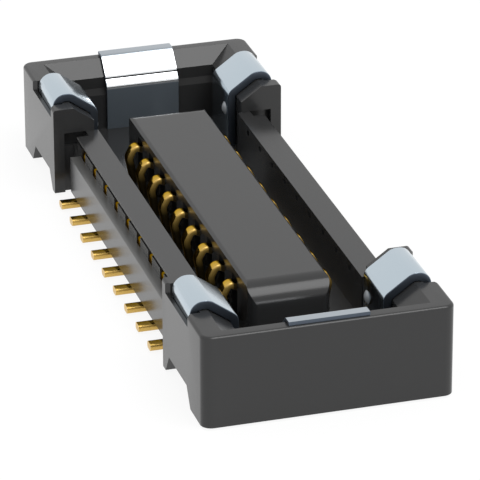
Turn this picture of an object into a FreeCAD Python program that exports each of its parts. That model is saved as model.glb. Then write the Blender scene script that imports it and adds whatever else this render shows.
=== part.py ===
import FreeCAD, Part
import math
import os

# Board-to-board receptacle connector, seen from above in its own frame, in millimetres.
# X runs across the connector, Y along it, Z up from the circuit board.
# The origin is on the board plane at the middle of the connector.

# Contacts
contact_pitch = 0.40
contacts_per_side = 9
contact_width = 0.115
contact_thickness = 0.07
tail_reach = 1.182
tail_bend = 0.07
shoulder_bend = 0
trench_bend = 0.06
dome_bend = 0.048
leg_cover = 0.04
window_width = 0.06
window_height = 0.05
shoulder_cover = 0.05
spring_gap = 0.015
belly_lean = 0.07
belly_height = 0.46
belly_bend = 0.08
dome_lean = 0.012
dome_height = 0.575
tip_reach = 0.11
tip_drop = 0.055

# Moulded housing, outside
body_width = 2.30
body_length = 6.48
block_length = 1.286
block_height = 0.87
corner_radius = 0.10
edge_radius = 0.03

# Side walls between the end blocks
wall_inner = 0.705
wall_outer = 0.945
wall_top = 0.62
ledge_outer = 1.05
ledge_top = 0.47
ledge_bottom = 0.11
ledge_end_gap = 0.24
body_standoff = 0.03
groove_height = 0.03
groove_depth = 0.035
groove_drop = 0.025

# Mating cavity
floor_height = 0.20
turn_height = 0.10
arm_inner = 0.745
lead_in_width = 0.205
lead_in_depth = 0.146
end_flat = 0.119
end_step_drop = 0.114
end_step = 0.054

# Centre island
island_width = 0.76
island_length = 4.20
island_top = 0.71
island_corner = 0.10
island_end_radius = 0.22
island_chamfer = 0.025
channel_depth = 0.10
channel_margin = 0.025
channel_cover = 0.09

# Pockets where the side walls meet the end blocks
pocket_inner = 0.83
pocket_outer = 1.045
pocket_depth = 0.10
pocket_notch = 0.12
pocket_lower_depth = 0.04

# Bottom notches of the end blocks
notch_start = 2.04
notch_end = 2.835
notch_height = 0.18
notch_slant = 0.115
notch_inner = 0.62

# Corner nails
nail_start = 2.13
nail_end = 2.69
nail_thickness = 0.083
nail_outer_bend = 0.085
nail_inner_bend = 0.10
nail_slope_bend = 0.06
nail_outer_leg = 1.068
nail_hook_end = 0.68
recess_floor = 0.765
recess_margin = 0.04
recess_flare = 0.05
dimple_middle = 2.245
dimple_radius = 0.10
dimple_height = 0.025
dimple_level = 0.56

# End plates
plate_width = 0.74
plate_thickness = 0.035
plate_bend = 0.03
plate_setback = 0.03

# Fits
seat_clearance = 0.003
slot_clearance = 0.004

half_width = body_width / 2
half_length = body_length / 2
block_face = half_length - block_length
half_contact = contact_thickness / 2
beyond = 1.0
overlap = 0.01


def box(x_low, x_high, y_low, y_high, z_low, z_high):
    size = (x_high - x_low, y_high - y_low, z_high - z_low)
    return Part.makeBox(*size, FreeCAD.Vector(x_low, y_low, z_low))


def mirrored(shape, across_x, across_y):
    # A copy on the other side of the middle planes, as asked.
    if across_x:
        shape = shape.mirror(FreeCAD.Vector(0, 0, 0), FreeCAD.Vector(1, 0, 0))
    if across_y:
        shape = shape.mirror(FreeCAD.Vector(0, 0, 0), FreeCAD.Vector(0, 1, 0))
    return shape


def four_ways(shape):
    # The same feature in all four quarters of the connector.
    quarters = []
    for across_x in (False, True):
        for across_y in (False, True):
            quarters.append(mirrored(shape, across_x, across_y))
    return quarters


def two_sides(shape):
    return [shape, mirrored(shape, True, False)]


def polygon_prism(points, direction):
    wire = Part.makePolygon(points + [points[0]])
    return Part.Face(wire).extrude(direction)


def rounded_plan(width, length, radius, z_low, z_high):
    # A plain block whose four upright corners are rounded.
    block = box(-width / 2, width / 2, -length / 2, length / 2, z_low, z_high)
    uprights = [edge for edge in block.Edges if edge.BoundBox.ZLength > (z_high - z_low) / 2]
    return block.makeFillet(radius, uprights)


def strip_edge(points, runs, bends, shift):
    # One long edge of a bent strip, moved sideways from the middle line by the shift:
    # straight lines, and an arc at each corner whose bend has a radius.
    sides = [FreeCAD.Vector(-run.y, run.x, 0) for run in runs]
    at = points[0] + sides[0] * shift
    edges = []
    for i, bend in enumerate(bends):
        arrive, leave = runs[i], runs[i + 1]
        half_turn = arrive.getAngle(leave) / 2
        if bend == 0:
            mitre = (sides[i] + sides[i + 1]).normalize() * (shift / math.cos(half_turn))
            edges.append((at, points[i + 1] + mitre))
            at = points[i + 1] + mitre
            continue
        turn = 1 if arrive.x * leave.y - arrive.y * leave.x > 0 else -1
        setback = bend * math.tan(half_turn)
        start = points[i + 1] - arrive * setback
        centre = start + sides[i] * (turn * bend)
        middle = centre + (points[i + 1] - centre).normalize() * (bend - turn * shift)
        end = points[i + 1] + leave * setback + sides[i + 1] * shift
        start = start + sides[i] * shift
        edges.append((at, start))
        edges.append((start, middle, end))
        at = end
    edges.append((at, points[-1] + sides[-1] * shift))
    return edges


def bent_strip(corners, bends, thickness, to_space, sweep):
    # A flat strip of even thickness that follows the corner points, seen edge on.
    # Each inner corner becomes a bend with the given radius on the strip's middle line.
    points = [FreeCAD.Vector(along, up, 0) for along, up in corners]
    runs = [(points[i + 1] - points[i]).normalize() for i in range(len(points) - 1)]
    left = strip_edge(points, runs, bends, thickness / 2)
    right = strip_edge(points, runs, bends, -thickness / 2)
    caps = [(left[0][0], right[0][0]), (left[-1][-1], right[-1][-1])]
    edges = []
    for flat in left + right + caps:
        placed = [to_space(point.x, point.y) for point in flat]
        edges.append(Part.Arc(*placed).toShape() if len(placed) == 3 else Part.makeLine(*placed))
    loop = Part.Wire(Part.__sortEdges__(edges))
    return Part.Face(loop).extrude(sweep)


def offset_profile(profile, distance):
    # The profile moved to its right-hand side by an even distance, with its corners kept sharp.
    points = [FreeCAD.Vector(a, b, 0) for a, b in profile]
    runs = [(points[i + 1] - points[i]).normalize() for i in range(len(points) - 1)]
    sides = [FreeCAD.Vector(run.y, -run.x, 0) for run in runs]
    moved = [points[0] + sides[0] * distance]
    for i in range(1, len(points) - 1):
        mitre = sides[i - 1] + sides[i]
        mitre = mitre * (1 / (1 + sides[i - 1].dot(sides[i])))
        moved.append(points[i] + mitre * distance)
    moved.append(points[-1] + sides[-1] * distance)
    return [(point.x, point.y) for point in moved]


def contact_places():
    first = -contact_pitch * (contacts_per_side - 1) / 2
    return [first + contact_pitch * i for i in range(contacts_per_side)]


def contact_strip(y_middle):
    # One right-hand contact: solder tail, outer leg, shoulder through the side wall,
    # inner leg, turn on the cavity floor, spring leg and domed contact point.
    outer_leg = wall_outer - half_contact
    inner_leg = wall_inner + leg_cover + half_contact
    shoulder = wall_top - shoulder_cover - half_contact
    spring_foot = island_width / 2 + spring_gap + half_contact
    corners = [
        (tail_reach, half_contact),
        (outer_leg, half_contact),
        (outer_leg, shoulder),
        (inner_leg, shoulder),
        (inner_leg, turn_height),
        (spring_foot, turn_height),
        (spring_foot + belly_lean, belly_height),
        (spring_foot + dome_lean, dome_height),
        (spring_foot + dome_lean - tip_reach, dome_height - tip_drop),
    ]
    bends = [tail_bend, shoulder_bend, shoulder_bend, trench_bend, trench_bend, belly_bend, dome_bend]

    def to_space(across, up):
        return FreeCAD.Vector(across, y_middle - contact_width / 2, up)

    return bent_strip(corners, bends, contact_thickness, to_space, FreeCAD.Vector(0, contact_width, 0))


def contact_slot(y_middle):
    # The slot that a right-hand contact is pushed into from below: up into the side wall for its
    # two legs, under the floor for its turn, out through the floor for its spring, and a small
    # window at the shoulder.
    half_slot = contact_width / 2 + slot_clearance
    y_low, y_high = y_middle - half_slot, y_middle + half_slot
    slot_top = wall_top - shoulder_cover + slot_clearance
    leg_side = wall_inner + leg_cover - slot_clearance
    spring_side = island_width / 2 + spring_gap - slot_clearance
    legs = box(leg_side, wall_outer + slot_clearance, y_low, y_high, -beyond, slot_top)
    turn_top = turn_height + half_contact + trench_bend / 4
    turn = box(spring_side, leg_side, y_low, y_high, -beyond, turn_top)
    spring_end = spring_side + contact_thickness + 2 * slot_clearance + belly_lean / 2
    opening = box(spring_side, spring_end, y_low, y_high, -beyond, floor_height)
    window = box(
        wall_inner - overlap, leg_side,
        y_middle - window_width / 2, y_middle + window_width / 2,
        slot_top - window_height, slot_top,
    )
    return legs.fuse([turn, opening, window]).removeSplitter()


def arm_profile():
    # The top of an end block's arm from its outer face down its inner side, across and up.
    lead_in_foot = block_height - lead_in_depth
    return [
        (nail_outer_leg, block_height),
        (arm_inner + lead_in_width, block_height),
        (arm_inner, lead_in_foot),
        (arm_inner, 0),
    ]


def nail_strip(margin):
    # The rear right nail's strap: hook in the side recess, arch over the arm, leg down to the board.
    rest = nail_thickness / 2 + seat_clearance
    top, slope, inner, foot = offset_profile(arm_profile(), rest)
    corners = [(nail_outer_leg, nail_hook_end), (nail_outer_leg, top[1]), slope, inner, (inner[0], 0)]
    bends = [nail_outer_bend, nail_inner_bend, nail_slope_bend]
    width = nail_end - nail_start + 2 * margin

    def to_space(across, up):
        return FreeCAD.Vector(across, nail_start - margin, up)

    return bent_strip(corners, bends, nail_thickness + 2 * margin, to_space, FreeCAD.Vector(0, width, 0))


def corner_nail():
    leg_face = arm_inner - nail_thickness - seat_clearance
    return nail_strip(0).fuse(lock_dimple(leg_face)).removeSplitter()


def lock_dimple(leg_face):
    # A shallow round boss pressed out of the inner leg, which the mating part clicks over.
    sphere_radius = (dimple_radius ** 2 + dimple_height ** 2) / (2 * dimple_height)
    centre = FreeCAD.Vector(leg_face - dimple_height + sphere_radius, dimple_middle, dimple_level)
    ball = Part.makeSphere(sphere_radius, centre)
    backing = nail_thickness / 2
    start = FreeCAD.Vector(leg_face - dimple_height, dimple_middle, dimple_level)
    plug = Part.makeCylinder(dimple_radius, dimple_height + backing, start, FreeCAD.Vector(1, 0, 0))
    return ball.common(plug)


def end_profile():
    # The end wall from its outer face over the top and down its inner side, out and up.
    flat_end = half_length - end_flat
    face = flat_end - lead_in_depth
    foot = block_height - lead_in_depth
    step_start = foot - end_step_drop
    return [
        (half_length - plate_setback, block_height),
        (flat_end, block_height),
        (face, foot),
        (face, step_start),
        (face - end_step, step_start - end_step),
        (face - end_step, 0),
    ]


def end_plate():
    # The rear plate: top strip, lead-in slope, small step and inner leg down to the board.
    path = offset_profile(end_profile(), plate_thickness / 2 + seat_clearance)
    bends = [plate_bend] * (len(path) - 2)

    def to_space(along, up):
        return FreeCAD.Vector(-plate_width / 2, along, up)

    return bent_strip(path, bends, plate_thickness, to_space, FreeCAD.Vector(plate_width, 0, 0))


def outer_block():
    # The full-length block with rounded upright corners and a rounded top edge.
    block = rounded_plan(body_width, body_length, corner_radius, 0, block_height)
    rim = [edge for edge in block.Edges if edge.BoundBox.ZMin > block_height - edge_radius]
    return block.makeFillet(edge_radius, rim)


def side_clearances():
    # What is cut away beside and above the side walls, between the end blocks.
    high = block_height + beyond
    wide = half_width + beyond
    cuts = [box(-wide, wide, -block_face, block_face, wall_top, high)]
    cuts.append(box(-wall_inner, wall_inner, -block_face, block_face, -beyond, body_standoff))
    ledge_end = block_face - ledge_end_gap
    groove_top = wall_top - groove_drop
    side_cuts = [
        box(wall_outer, wide, -block_face, block_face, ledge_top, high),
        box(wall_outer - groove_depth, wide, -block_face, block_face, groove_top - groove_height, groove_top),
        box(ledge_outer, wide, -block_face, block_face, -beyond, high),
        box(wall_outer, wide, -block_face, block_face, -beyond, ledge_bottom),
        box(wall_inner, wide, -block_face, block_face, -beyond, body_standoff),
        box(wall_outer, wide, ledge_end, block_face, -beyond, high),
        box(wall_outer, wide, -block_face, -ledge_end, -beyond, high),
    ]
    for cut in side_cuts:
        cuts += two_sides(cut)
    return cuts


def end_pockets():
    # Hollows in the inner faces of the end blocks, which also notch the side walls' upper corners.
    upper = box(
        pocket_inner, pocket_outer,
        block_face - pocket_notch, block_face + pocket_depth,
        ledge_top, wall_top,
    )
    lower = box(wall_outer, pocket_outer, block_face - overlap, block_face + pocket_lower_depth, -beyond, ledge_top)
    return four_ways(upper) + four_ways(lower)


def cavity():
    # The open space for the mating half: trench, wider ends and the lead-in slopes.
    high = block_height + beyond
    outline = end_profile()
    face = outline[2][0]
    foot = outline[2][1]
    inner_face = outline[-1][0]
    step_start = outline[3][1]
    trench = box(-wall_inner, wall_inner, -inner_face, inner_face, floor_height, high)
    arms = box(-arm_inner, arm_inner, block_face, inner_face, floor_height, high)
    room = polygon_prism(
        [
            FreeCAD.Vector(-arm_inner, block_face, step_start),
            FreeCAD.Vector(-arm_inner, inner_face, step_start - end_step),
            FreeCAD.Vector(-arm_inner, face, step_start),
            FreeCAD.Vector(-arm_inner, face, high),
            FreeCAD.Vector(-arm_inner, block_face, high),
        ],
        FreeCAD.Vector(2 * arm_inner, 0, 0),
    )

    def rectangle(x_half, y_half, level):
        corners = [(-x_half, -y_half), (x_half, -y_half), (x_half, y_half), (-x_half, y_half)]
        corners.append(corners[0])
        return Part.makePolygon([FreeCAD.Vector(x, y, level) for x, y in corners])

    slopes = Part.makeLoft(
        [
            rectangle(arm_inner, face, foot),
            rectangle(arm_inner + lead_in_width, face + lead_in_depth, block_height),
        ],
        True, True,
    )
    cuts = [trench, slopes]
    for piece in (arms, room):
        cuts.append(piece)
        cuts.append(mirrored(piece, False, True))
    return cuts


def island():
    # The centre island: rounded ends, chamfered long edges and a channel at each contact.
    plan = rounded_plan(island_width, island_length, island_corner, floor_height - overlap, island_top)
    side_view = box(-island_width, island_width, -island_length / 2, island_length / 2, 0, island_top)
    end_edges = [
        edge for edge in side_view.Edges
        if edge.BoundBox.XLength > island_width and edge.BoundBox.ZMin > island_top / 2
    ]
    side_view = side_view.makeFillet(island_end_radius, end_edges)
    end_view = box(-island_width / 2, island_width / 2, -island_length, island_length, 0, island_top)
    long_edges = [
        edge for edge in end_view.Edges
        if edge.BoundBox.YLength > island_length and edge.BoundBox.ZMin > island_top / 2
    ]
    end_view = end_view.makeChamfer(island_chamfer, long_edges)
    solid = plan.common(side_view).common(end_view)
    channels = []
    half_channel = contact_width / 2 + channel_margin
    for y_middle in contact_places():
        channel = box(
            island_width / 2 - channel_depth, island_width,
            y_middle - half_channel, y_middle + half_channel,
            floor_height, island_top - channel_cover,
        )
        channels += two_sides(channel)
    return solid.cut(channels)


def bottom_notches():
    # Tapered notches through the block sides, open to the board, where the nails are soldered.
    spread = notch_slant * overlap / notch_height
    points = [
        FreeCAD.Vector(notch_inner, notch_start - spread, -overlap),
        FreeCAD.Vector(notch_inner, notch_start + notch_slant, notch_height),
        FreeCAD.Vector(notch_inner, notch_end - notch_slant, notch_height),
        FreeCAD.Vector(notch_inner, notch_end + spread, -overlap),
    ]
    notch = polygon_prism(points, FreeCAD.Vector(half_width + beyond - notch_inner, 0, 0))
    return four_ways(notch)


def nail_seats():
    # The flared recess in the block's top outer edge and the slots for the nail's two legs.
    inner = nail_outer_leg - nail_thickness / 2 - slot_clearance
    outer = nail_outer_leg + nail_thickness / 2 + slot_clearance
    start = nail_start - recess_margin
    end = nail_end + recess_margin
    reach = half_width + overlap
    recess = polygon_prism(
        [
            FreeCAD.Vector(inner, start, recess_floor),
            FreeCAD.Vector(outer, start, recess_floor),
            FreeCAD.Vector(reach, start - recess_flare, recess_floor),
            FreeCAD.Vector(reach, end + recess_flare, recess_floor),
            FreeCAD.Vector(outer, end, recess_floor),
            FreeCAD.Vector(inner, end, recess_floor),
        ],
        FreeCAD.Vector(0, 0, beyond),
    )
    hook_slot = box(
        inner, outer, nail_start - slot_clearance, nail_end + slot_clearance,
        nail_hook_end - slot_clearance, block_height,
    )
    leg_inner = arm_inner - nail_thickness - 2 * seat_clearance
    leg_slot = box(
        leg_inner, arm_inner, nail_start - slot_clearance, nail_end + slot_clearance,
        -beyond, floor_height,
    )
    seats = []
    for cut in (recess, hook_slot, leg_slot, nail_strip(slot_clearance)):
        seats += four_ways(cut)
    return seats


def plate_slots():
    # Slots through the cavity floor for the lower edges of the end plates.
    wall_face = end_profile()[-1][0]
    slot = box(
        -plate_width / 2 - slot_clearance, plate_width / 2 + slot_clearance,
        wall_face - plate_thickness - 2 * seat_clearance, wall_face,
        -beyond, floor_height,
    )
    return [slot, mirrored(slot, False, True)]


def housing():
    body = outer_block()
    body = body.cut(side_clearances())
    body = body.cut(cavity())
    body = body.fuse(island()).removeSplitter()
    body = body.cut(end_pockets() + bottom_notches() + nail_seats() + plate_slots())
    pockets = []
    for y_middle in contact_places():
        pockets += two_sides(contact_slot(y_middle))
    return body.cut(pockets).removeSplitter()


def save(name, shape):
    solids = shape.Solids
    shape = solids[0] if len(solids) == 1 else shape
    shape.exportStep(os.path.join("parts", name + ".step"))
    print(name, len(solids), "solid", round(shape.Volume, 5), "mm3", "valid", shape.isValid())


def main():
    os.makedirs("parts", exist_ok=True)
    save("housing", housing())
    for number, y_middle in enumerate(contact_places(), start=1):
        contact = contact_strip(y_middle)
        save("contact_right_" + str(number), contact)
        save("contact_left_" + str(number), mirrored(contact, True, False))
    nail = corner_nail()
    save("corner_nail_rear_right", nail)
    save("corner_nail_rear_left", mirrored(nail, True, False))
    save("corner_nail_front_right", mirrored(nail, False, True))
    save("corner_nail_front_left", mirrored(nail, True, True))
    plate = end_plate()
    save("end_plate_rear", plate)
    save("end_plate_front", mirrored(plate, False, True))


main()
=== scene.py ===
import bpy
import bmesh
import numpy as np
from mathutils import Matrix, Vector


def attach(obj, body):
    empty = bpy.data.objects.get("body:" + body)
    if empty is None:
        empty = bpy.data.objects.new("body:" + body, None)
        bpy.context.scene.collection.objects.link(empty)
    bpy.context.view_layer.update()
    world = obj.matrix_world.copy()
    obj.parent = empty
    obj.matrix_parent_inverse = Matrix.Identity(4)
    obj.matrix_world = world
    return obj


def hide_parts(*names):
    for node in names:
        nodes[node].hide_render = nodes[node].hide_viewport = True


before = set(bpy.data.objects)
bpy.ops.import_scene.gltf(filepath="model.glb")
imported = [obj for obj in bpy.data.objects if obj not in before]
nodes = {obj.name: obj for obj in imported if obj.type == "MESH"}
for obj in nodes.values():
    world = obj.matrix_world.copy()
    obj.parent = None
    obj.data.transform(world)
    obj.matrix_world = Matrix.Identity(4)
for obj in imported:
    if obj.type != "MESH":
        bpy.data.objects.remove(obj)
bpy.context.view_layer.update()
millimetre = 0.001
print("frame loaded", len(nodes), "nodes")


def newMaterial(name, baseColor, roughness, metallic, extra=None):
    # a plain Principled surface; extra holds further socket values by name
    material = bpy.data.materials.new(name)
    material.use_nodes = True
    shader = material.node_tree.nodes["Principled BSDF"]
    shader.inputs["Base Color"].default_value = (*baseColor, 1)
    shader.inputs["Roughness"].default_value = roughness
    shader.inputs["Metallic"].default_value = metallic
    for socket, value in (extra or {}).items():
        shader.inputs[socket].default_value = value
    return material


def mathNode(tree, operation, *values):
    # the result of one Math node; each value is another node's output or a number
    node = tree.nodes.new("ShaderNodeMath")
    node.operation = operation
    for socket, value in zip(node.inputs, values):
        if isinstance(value, bpy.types.NodeSocket):
            tree.links.new(value, socket)
        else:
            socket.default_value = value
    return node.outputs[0]


def addGrain(material, grain):
    # a fine bump from a noise pattern on the piece's own Object coordinates; its depth is in metres
    tree = material.node_tree
    coords = tree.nodes.new("ShaderNodeTexCoord")
    noise = tree.nodes.new("ShaderNodeTexNoise")
    bump = tree.nodes.new("ShaderNodeBump")
    noise.inputs["Scale"].default_value = grain["scale"]
    noise.inputs["Detail"].default_value = grain["detail"]
    bump.inputs["Strength"].default_value = grain["strength"]
    bump.inputs["Distance"].default_value = grain["depth"]
    tree.links.new(coords.outputs["Object"], noise.inputs["Vector"])
    tree.links.new(noise.outputs["Fac"], bump.inputs["Height"])
    tree.links.new(bump.outputs["Normal"], tree.nodes["Principled BSDF"].inputs["Normal"])


def shadeDownSlot(material, topColor, shadeColor, fade, reach, bands):
    # painted shade: the colour fades from topColor to the shade colour as Z falls through the fade (top,
    # bottom), only where |X| is under the reach: factor = clamp((top - z) / (top - bottom)) * (|x| <
    # reach);
    # each band is a range of |X| (middle, half width, factor) painted dark as shade at every height
    tree = material.node_tree
    coords = tree.nodes.new("ShaderNodeTexCoord")
    split = tree.nodes.new("ShaderNodeSeparateXYZ")
    depth = tree.nodes.new("ShaderNodeMapRange")
    depth.inputs["From Min"].default_value = fade[0] * millimetre
    depth.inputs["From Max"].default_value = fade[1] * millimetre
    blend = tree.nodes.new("ShaderNodeMix")
    blend.data_type = "RGBA"
    blend.inputs["A"].default_value = (*topColor, 1)
    blend.inputs["B"].default_value = (*shadeColor, 1)
    tree.links.new(coords.outputs["Object"], split.inputs[0])
    tree.links.new(split.outputs["Z"], depth.inputs["Value"])
    reachOut = mathNode(tree, "ABSOLUTE", split.outputs["X"])
    inside = mathNode(tree, "LESS_THAN", reachOut, reach * millimetre)
    factor = mathNode(tree, "MULTIPLY", depth.outputs[0], inside)
    for middle, halfWidth, darkness in bands:
        near = mathNode(tree, "COMPARE", reachOut, middle * millimetre, halfWidth * millimetre)
        dark = mathNode(tree, "MULTIPLY", near, darkness)
        factor = mathNode(tree, "MAXIMUM", dark, factor)
    tree.links.new(factor, blend.inputs["Factor"])
    tree.links.new(blend.outputs["Result"], tree.nodes["Principled BSDF"].inputs["Base Color"])


def shadeByHeight(material, look):
    # colour follows Z through the stops (share of the height, colour), straight between them, as painted
    # shade;
    # the metallic share falls from 1 to the shaded one as Z falls through the fade (top, bottom), also
    # painted shade
    tree = material.node_tree
    stops = look["stops"]
    coords = tree.nodes.new("ShaderNodeTexCoord")
    split = tree.nodes.new("ShaderNodeSeparateXYZ")
    share = tree.nodes.new("ShaderNodeMapRange")
    share.inputs["From Max"].default_value = look["height"] * millimetre
    ramp = tree.nodes.new("ShaderNodeValToRGB")
    ramp.color_ramp.elements[0].position = stops[0][0]
    ramp.color_ramp.elements[0].color = (*stops[0][1], 1)
    ramp.color_ramp.elements[1].position = stops[-1][0]
    ramp.color_ramp.elements[1].color = (*stops[-1][1], 1)
    for position, color in stops[1:-1]:
        ramp.color_ramp.elements.new(position).color = (*color, 1)
    metalShade = tree.nodes.new("ShaderNodeMapRange")
    metalShade.inputs["From Min"].default_value = look["shadeFade"][1] * millimetre
    metalShade.inputs["From Max"].default_value = look["shadeFade"][0] * millimetre
    metalShade.inputs["To Min"].default_value = look["shadeMetallic"]
    shader = tree.nodes["Principled BSDF"]
    tree.links.new(coords.outputs["Object"], split.inputs[0])
    tree.links.new(split.outputs["Z"], share.inputs["Value"])
    tree.links.new(share.outputs[0], ramp.inputs["Fac"])
    tree.links.new(ramp.outputs["Color"], shader.inputs["Base Color"])
    tree.links.new(split.outputs["Z"], metalShade.inputs["Value"])
    tree.links.new(metalShade.outputs[0], shader.inputs["Metallic"])


def bentPath(corners, bends, arcSteps):
    # straight runs joined by tangent arcs: for each inner corner the arc's centre lies one radius
    # to the side of the run, and its points are centre + radius * (cos, sin) of evenly spaced angles
    corners = np.asarray(corners, float)
    runs = np.diff(corners, axis=0)
    runs /= np.linalg.norm(runs, axis=1)[:, None]
    points, normals = [corners[:1]], [np.array([[-runs[0, 1], runs[0, 0]]])]
    for k, bend in enumerate(bends):
        arrive, leave = runs[k], runs[k + 1]
        turn = np.arctan2(arrive[0] * leave[1] - arrive[1] * leave[0], arrive @ leave)
        start = corners[k + 1] - arrive * bend * np.tan(abs(turn) / 2)
        side = np.sign(turn) * np.array([-arrive[1], arrive[0]])
        centre = start + side * bend
        first = np.arctan2(-side[1], -side[0])
        angles = first + np.linspace(0, turn, arcSteps + 1)
        outward = np.stack([np.cos(angles), np.sin(angles)], 1)
        points.append(centre + bend * outward)
        normals.append(-np.sign(turn) * outward)
    points.append(corners[-1:])
    normals.append(np.array([[-runs[-1, 1], runs[-1, 0]]]))
    return np.concatenate(points), np.concatenate(normals)


def stripSection(thickness, width, rounding, cornerSteps=5):
    # rounded rectangle: four quarter circles of the rounding radius about the inset corners
    angles = np.linspace(0, np.pi / 2, cornerSteps + 1)
    quarter = np.stack([np.cos(angles), np.sin(angles)], 1) * rounding
    inset = np.array([thickness / 2 - rounding, width / 2 - rounding])
    parts = []
    for k in range(4):
        cosine, sine = np.cos(k * np.pi / 2), np.sin(k * np.pi / 2)
        signs = np.sign([cosine - sine, cosine + sine])
        turned = quarter @ np.array([[cosine, sine], [-sine, cosine]])
        parts.append(turned + signs * inset)
    return np.concatenate(parts)


def stripMesh(corners, shape, toSpace):
    # each section point (n, w) at path point p becomes p + n * normal in the path's plane,
    # and w across it; toSpace turns (along, up, across) into the row frame;
    # the narrow sides and both ends are cut faces, in slot 1
    path, normals = bentPath(corners, shape["bends"], shape["arcSteps"])
    section = stripSection(shape["thickness"], shape["width"], shape["rounding"])
    plane = path[:, None, :] + normals[:, None, :] * section[None, :, :1]
    across = np.broadcast_to(section[None, :, 1], plane.shape[:2])
    points = toSpace(plane[..., 0], plane[..., 1], across).reshape(-1, 3)
    rows, ring = plane.shape[:2]
    index = np.arange(rows * ring).reshape(rows, ring)
    turned = np.roll(index, -1, 1)
    quads = np.stack([index[:-1], turned[:-1], turned[1:], index[1:]], -1)
    faces = quads.reshape(-1, 4).tolist() + [index[0].tolist(), index[-1][::-1].tolist()]
    sideReach = np.abs(section[:, 1] + np.roll(section, -1, 0)[:, 1]) / 2
    sideCut = sideReach > shape["width"] / 2 - shape["rounding"] / 2
    cutFaces = np.concatenate([np.tile(sideCut, rows - 1), [True, True]])
    return points, faces, cutFaces


def capMesh(boss, rings=8, spokes=32):
    # a shallow dome towards -X: at distance r from the middle it stands height * (1 - (r / radius) ** 2);
    # its back is a cone to a point one height behind the middle, and every face takes the boss's slot
    radius, height = boss["radius"], boss["height"]
    shares = np.linspace(0, 1, rings + 1)[1:]
    angles = np.linspace(0, 2 * np.pi, spokes, endpoint=False)
    share, angle = np.meshgrid(shares, angles, indexing="ij")
    lift = height * (1 - share ** 2)
    across, up = radius * share * np.cos(angle), radius * share * np.sin(angle)
    shell = np.stack([-lift, across, up], -1).reshape(-1, 3)
    points = np.concatenate([[[-height, 0, 0]], shell, [[height, 0, 0]]]) + np.asarray(boss["centre"])
    index = 1 + np.arange(rings * spokes).reshape(rings, spokes)
    turned = np.roll(index, -1, 1)
    quads = np.stack([index[:-1], index[1:], turned[1:], turned[:-1]], -1).reshape(-1, 4)
    front = np.stack([np.zeros(spokes, int), index[0], turned[0]], 1)
    back = np.stack([np.full(spokes, len(points) - 1), turned[-1], index[-1]], 1)
    faces = quads.tolist() + front.tolist() + back.tolist()
    return points, faces, np.full(len(faces), boss["slot"])


def addPiece(name, surfaces, materials, replaced, sharpAngle=40):
    # one object from several closed surfaces, each as (points in millimetres, faces, material slots)
    points, faces, slots, start = [], [], [], 0
    for surfacePoints, surfaceFaces, surfaceSlots in surfaces:
        points.append(surfacePoints)
        faces += [[start + corner for corner in face] for face in surfaceFaces]
        slots.append(surfaceSlots)
        start += len(surfacePoints)
    mesh = bpy.data.meshes.new(name)
    mesh.from_pydata((np.concatenate(points) * millimetre).tolist(), [], faces)
    for material in materials:
        mesh.materials.append(material)
    mesh.polygons.foreach_set("material_index", np.concatenate(slots).astype(np.int32))
    shell = bmesh.new()
    shell.from_mesh(mesh)
    bmesh.ops.recalc_face_normals(shell, faces=shell.faces)
    shell.to_mesh(mesh)
    shell.free()
    mesh.polygons.foreach_set("use_smooth", np.ones(len(mesh.polygons), bool))
    mesh.set_sharp_from_angle(angle=np.radians(sharpAngle))
    piece = bpy.data.objects.new(name, mesh)
    bpy.context.scene.collection.objects.link(piece)
    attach(piece, "root")
    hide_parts(replaced)
    return piece


def offsetCorners(profile, distance):
    # every corner moves along its mitre, so that each side moves to its right by the distance
    profile = np.asarray(profile, float)
    runs = np.diff(profile, axis=0)
    runs /= np.linalg.norm(runs, axis=1)[:, None]
    sides = np.stack([runs[:, 1], -runs[:, 0]], 1)
    mitre = sides[:-1] + sides[1:]
    mitre /= (1 + np.sum(sides[:-1] * sides[1:], 1))[:, None]
    moved = np.concatenate([sides[:1], mitre, sides[-1:]])
    return profile + moved * distance


print("materials")
grain = {"scale": 60000, "detail": 3, "strength": 0.06, "depth": 0.000004}
plastic = newMaterial("moulded black plastic", (0.0245, 0.0247, 0.025), 0.20, 0, {"IOR": 1.42})
addGrain(plastic, grain)
# a lighter copy of the black plastic for the ledge tops and the wall's outer faces above them: painted
# light
litLedgePlastic = newMaterial(
    "black plastic painted lighter on the ledges", (0.085, 0.085, 0.083), 0.24, 0, {"IOR": 1.45})
addGrain(litLedgePlastic, grain)
# a darker, duller copy of the black plastic for the end steps, which holds down their reflection: painted
# shade
shadedStepPlastic = newMaterial(
    "black plastic dulled on the end steps", (0.020, 0.020, 0.020), 0.55, 0, {"IOR": 1.15})

# colours on the flats and on the cut edges, and the heights in millimetres between which they darken:
# painted shade down the slot; the two bands paint shade on the wall's shoulders and the island's tips
goldLook = {
    "flat": (0.62, 0.40, 0.09), "flatDeep": (0.08, 0.06, 0.02), "flatFade": (0.50, 0.25),
    "cut": (0.72, 0.47, 0.12), "cutDeep": (0.04, 0.028, 0.010), "cutFade": (0.57, 0.38),
    "tint": (0.40, 0.30, 0.15, 1), "reach": 0.80,
    "bands": [(0.90, 0.06, 0.75), (0.36, 0.045, 0.92)],
}
gold = newMaterial("gold plating", goldLook["flat"], 0.16, 1, {"Specular Tint": goldLook["tint"]})
goldCut = newMaterial("gold plated cut edge", goldLook["cut"], 0.30, 0.55)
for material, face in ((gold, "flat"), (goldCut, "cut")):
    shadeDownSlot(material, goldLook[face], goldLook[face + "Deep"], goldLook[face + "Fade"],
                  goldLook["reach"], goldLook["bands"])

bright = newMaterial("bright nail plating", (0.52, 0.60, 0.66), 0.15, 1)
brightCut = newMaterial("sheared nail edge", (0.10, 0.12, 0.15), 0.45, 1)
# a dimmer, half-metallic copy of the nail plating on the lock boss, which tones down its glint: painted
# shade
dimmedBossMetal = newMaterial("nail plating dimmed on the lock boss", (0.34, 0.36, 0.38), 0.36, 0.35)

# painted shade on the end plate: dark low in the cavity, dark and grey lines on the bead, a darker top
# edge
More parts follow.
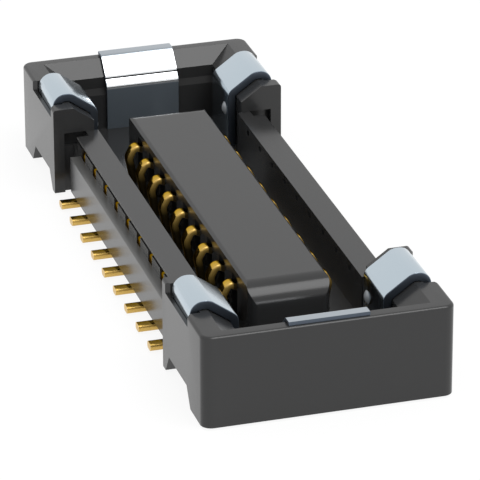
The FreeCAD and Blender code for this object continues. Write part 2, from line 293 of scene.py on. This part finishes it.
plateColor = (0.88, 0.90, 0.92)
plateLook = {
    "height": 1.0,
    "stops": [
        (0.62, (0.11, 0.13, 0.15)), (0.645, plateColor), (0.664, plateColor),
        (0.672, (0.26, 0.29, 0.32)), (0.69, (0.42, 0.45, 0.48)), (0.70, plateColor), (0.88, plateColor),
        (0.893, (0.16, 0.18, 0.20)), (0.905, (0.42, 0.46, 0.50)),
    ],
    # the metallic share also falls low in the cavity as painted shade
    "shadeFade": (0.645, 0.625), "shadeMetallic": 0.35,
}
plateMetal = newMaterial("polished end plate", plateColor, 0.12, 1)
shadeByHeight(plateMetal, plateLook)

# the solids' own meshes are coated too, and the housing's copy below takes its plastic from here
for name, node in nodes.items():
    if name == "housing":
        coat = plastic
    elif name.startswith("contact"):
        coat = gold
    elif name.startswith("end_plate"):
        coat = plateMetal
    else:
        coat = bright
    node.data.materials.clear()
    node.data.materials.append(coat)

print("housing")
# lengths in millimetres but for the merge distance in metres, angles in degrees,
# and facing and sloping as the least share of a face's normal along an axis
mould = {
    "mergeDistance": 1e-8, "flatAngle": 0.2, "sharpAngle": 24, "normalWeight": 90,
    "facing": 0.99, "sloping": 0.6, "slack": 0.01,
    "wall": 0.945, "ledgeTop": 0.47, "wallTop": 0.62, "stepLow": 0.55, "stepHigh": 0.62,
}
housing = nodes["housing"].copy()
body = nodes["housing"].data.copy()
housing.data = body
housing.name = "mouldedHousing"
housing.parent = None
housing.matrix_world = Matrix.Identity(4)
bpy.context.scene.collection.objects.link(housing)
merged = bmesh.new()
merged.from_mesh(body)
bmesh.ops.remove_doubles(merged, verts=merged.verts, dist=mould["mergeDistance"])
flatAngle = np.radians(mould["flatAngle"])
bmesh.ops.dissolve_limit(merged, angle_limit=flatAngle, verts=merged.verts, edges=merged.edges)
merged.to_mesh(body)
merged.free()
# the stored normals don't fit the merged faces
if "custom_normal" in body.attributes:
    body.attributes.remove(body.attributes["custom_normal"])
body.polygons.foreach_set("use_smooth", np.ones(len(body.polygons), bool))
body.set_sharp_from_angle(angle=np.radians(mould["sharpAngle"]))

# level faces outside the wall are ledge tops, and sloped ones facing an end are end steps;
# the ledge tops and the wall's outer faces above them take plastic painted lighter as painted light,
# and the end steps a darker, duller plastic as painted shade
faceCount = len(body.polygons)
centres, directions = np.empty(faceCount * 3), np.empty(faceCount * 3)
body.polygons.foreach_get("center", centres)
body.polygons.foreach_get("normal", directions)
centres, directions = centres.reshape(-1, 3) / millimetre, directions.reshape(-1, 3)
reachOut, heights = np.abs(centres[:, 0]), centres[:, 2]
onLedge = (directions[:, 2] > mould["facing"]) & (reachOut > mould["wall"])
onLedge &= np.abs(heights - mould["ledgeTop"]) < mould["slack"]
onWall = (np.abs(directions[:, 0]) > mould["facing"]) & (np.abs(reachOut - mould["wall"]) < mould["slack"])
onWall &= (heights > mould["ledgeTop"]) & (heights < mould["wallTop"])
onEnd = (np.abs(directions[:, 1]) > mould["sloping"]) & (directions[:, 2] > mould["sloping"])
onEnd &= (heights > mould["stepLow"]) & (heights < mould["stepHigh"])
body.materials.append(litLedgePlastic)
body.materials.append(shadedStepPlastic)
faceSlots = (onLedge | onWall).astype(np.int32) + 2 * onEnd.astype(np.int32)
body.polygons.foreach_set("material_index", faceSlots)
print("ledge faces", int(onLedge.sum()), int(onWall.sum()), "end steps", int(onEnd.sum()))
evenNormals = housing.modifiers.new("even normals", "WEIGHTED_NORMAL")
evenNormals.keep_sharp = True
evenNormals.weight = mould["normalWeight"]
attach(housing, "root")
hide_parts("housing")

contactShape = {
    "thickness": 0.07, "width": 0.115, "rounding": 0.028,
    "pitch": 0.40, "perSide": 9,
    "corners": [
        (1.182, 0.035), (0.91, 0.035), (0.91, 0.535), (0.78, 0.535), (0.78, 0.10),
        (0.43, 0.10), (0.497, 0.45), (0.440, 0.562), (0.332, 0.508),
    ],
    "bends": [0.07, 0.037, 0.037, 0.06, 0.06, 0.08, 0.048], "arcSteps": 10,
}
print("contacts")
for sideName, sideSign in (("right", 1), ("left", -1)):
    for k in range(contactShape["perSide"]):
        middle = (k - (contactShape["perSide"] - 1) / 2) * contactShape["pitch"]

        def place(along, up, across, sideSign=sideSign, middle=middle):
            return np.stack([sideSign * along, middle + across, up], -1)

        strip = stripMesh(contactShape["corners"], contactShape, place)
        addPiece("goldContact_%s_%d" % (sideName, k + 1), [strip], [gold, goldCut],
                 "contact_%s_%d" % (sideName, k + 1))

nailShape = {
    "thickness": 0.083, "width": 0.56, "rounding": 0.012, "middle": 2.41, "seat": 0.003,
    "profile": [(1.068, 0.87), (0.95, 0.87), (0.745, 0.724), (0.745, 0)],
    "hookEnd": 0.68, "bends": [0.085, 0.10, 0.06], "arcSteps": 14,
}
bossShape = {"centre": (0.659, 2.245, 0.56), "radius": 0.065, "height": 0.028, "slot": 2}
print("corner nails")
seated = offsetCorners(nailShape["profile"], nailShape["thickness"] / 2 + nailShape["seat"])
nailCorners = [(seated[0, 0], nailShape["hookEnd"]), *seated]
for endName, endSign in (("rear", 1), ("front", -1)):
    for sideName, sideSign in (("right", 1), ("left", -1)):

        def place(along, up, across, sideSign=sideSign, endSign=endSign):
            return np.stack([sideSign * along, endSign * (nailShape["middle"] + across), up], -1)

        strip = stripMesh(nailCorners, nailShape, place)
        domePoints, domeFaces, domeSlots = capMesh(bossShape)
        dome = (domePoints * np.array([sideSign, endSign, 1]), domeFaces, domeSlots)
        addPiece("cornerNail_%s_%s" % (endName, sideName), [strip, dome], [bright, brightCut, dimmedBossMetal],
                 "corner_nail_%s_%s" % (endName, sideName))

plateShape = {
    "thickness": 0.035, "width": 0.74, "rounding": 0.006, "seat": 0.003,
    "profile": [(3.21, 0.87), (3.121, 0.87), (2.975, 0.724), (2.975, 0.695), (2.921, 0.641), (2.921, 0)],
    "bends": [0.03, 0.03, 0.03, 0.03], "arcSteps": 8,
}
print("end plates")
plateCorners = offsetCorners(plateShape["profile"], plateShape["thickness"] / 2 + plateShape["seat"])
for endName, endSign in (("rear", 1), ("front", -1)):

    def place(along, up, across, endSign=endSign):
        return np.stack([across, endSign * along, up], -1)

    strip = stripMesh(plateCorners, plateShape, place)
    addPiece("endPlate_" + endName, [strip], [plateMetal, brightCut], "end_plate_" + endName)

print("floor and light")
# lengths in metres; the floor's share is how much of its light it sends out by itself, as the camera,
# mirrors and clear bodies see it
studio = {
    "floorSize": 0.4, "floorDrop": 0.00002, "floorShare": 0.9, "worldLight": 0.93,
    "floorColor": (0.93, 0.93, 0.93, 1), "white": (1, 1, 1, 1),
}
floorMesh = bpy.data.meshes.new("floor")
half = studio["floorSize"] / 2
floorCorners = [(-half, -half, 0), (half, -half, 0), (half, half, 0), (-half, half, 0)]
floorMesh.from_pydata(floorCorners, [], [(0, 1, 2, 3)])
floor = bpy.data.objects.new("floor", floorMesh)
floor.location.z = -studio["floorDrop"]
bpy.context.scene.collection.objects.link(floor)
floorCoat = bpy.data.materials.new("white table")
floorCoat.use_nodes = True
tree = floorCoat.node_tree
tree.nodes.clear()
output = tree.nodes.new("ShaderNodeOutputMaterial")
mix = tree.nodes.new("ShaderNodeMixShader")
diffuse = tree.nodes.new("ShaderNodeBsdfDiffuse")
diffuse.inputs["Color"].default_value = studio["floorColor"]
glow = tree.nodes.new("ShaderNodeEmission")
glow.inputs["Color"].default_value = studio["white"]
paths = tree.nodes.new("ShaderNodeLightPath")
seen = mathNode(tree, "MAXIMUM", paths.outputs["Is Camera Ray"], paths.outputs["Is Glossy Ray"])
seen = mathNode(tree, "MAXIMUM", seen, paths.outputs["Is Transmission Ray"])
tree.links.new(mathNode(tree, "MULTIPLY", seen, studio["floorShare"]), mix.inputs["Fac"])
tree.links.new(diffuse.outputs[0], mix.inputs[1])
tree.links.new(glow.outputs[0], mix.inputs[2])
tree.links.new(mix.outputs[0], output.inputs["Surface"])
floorMesh.materials.append(floorCoat)

softbox = {"size": (0.030, 0.030), "place": (0.013, -0.021, 0.0435), "power": 0.0125}
lampData = bpy.data.lights.new("overhead softbox", "AREA")
lampData.shape = "RECTANGLE"
lampData.size, lampData.size_y = softbox["size"]
lampData.energy = softbox["power"]
lamp = bpy.data.objects.new("overheadSoftbox", lampData)
lamp.location = softbox["place"]
lamp.rotation_euler = (-Vector(softbox["place"])).to_track_quat("-Z", "Y").to_euler()
bpy.context.scene.collection.objects.link(lamp)

world = bpy.data.worlds.new("studio")
world.use_nodes = True
sky = world.node_tree.nodes["Background"]
sky.inputs["Color"].default_value = studio["white"]
sky.inputs["Strength"].default_value = studio["worldLight"]
bpy.context.scene.world = world
bpy.context.scene.view_settings.view_transform = "Standard"

print("camera")
# angles in degrees, distance, target, focal length and sensor in millimetres, clipping in metres
lens = {
    "azimuth": -16.5008, "elevation": 24.9159, "roll": -0.1918,
    "distance": 37.965, "target": (0.0472, -0.3361, 0.3542),
    "focal": 306.67, "sensor": 36, "clip": (0.001, 10),
}
azimuth, elevation = np.radians(lens["azimuth"]), np.radians(lens["elevation"])
level = np.cos(elevation)
back = Vector((np.sin(azimuth) * level, -np.cos(azimuth) * level, np.sin(elevation)))
cameraData = bpy.data.cameras.new("camera")
cameraData.lens = lens["focal"]
cameraData.sensor_width = lens["sensor"]
cameraData.clip_start, cameraData.clip_end = lens["clip"]
camera = bpy.data.objects.new("camera", cameraData)
camera.location = (Vector(lens["target"]) + back * lens["distance"]) * millimetre
aim = back.to_track_quat("Z", "Y").to_matrix().to_4x4()
tilted = aim @ Matrix.Rotation(np.radians(lens["roll"]), 4, "Z")
camera.rotation_euler = tilted.to_euler()
bpy.context.scene.collection.objects.link(camera)
bpy.context.scene.camera = camera
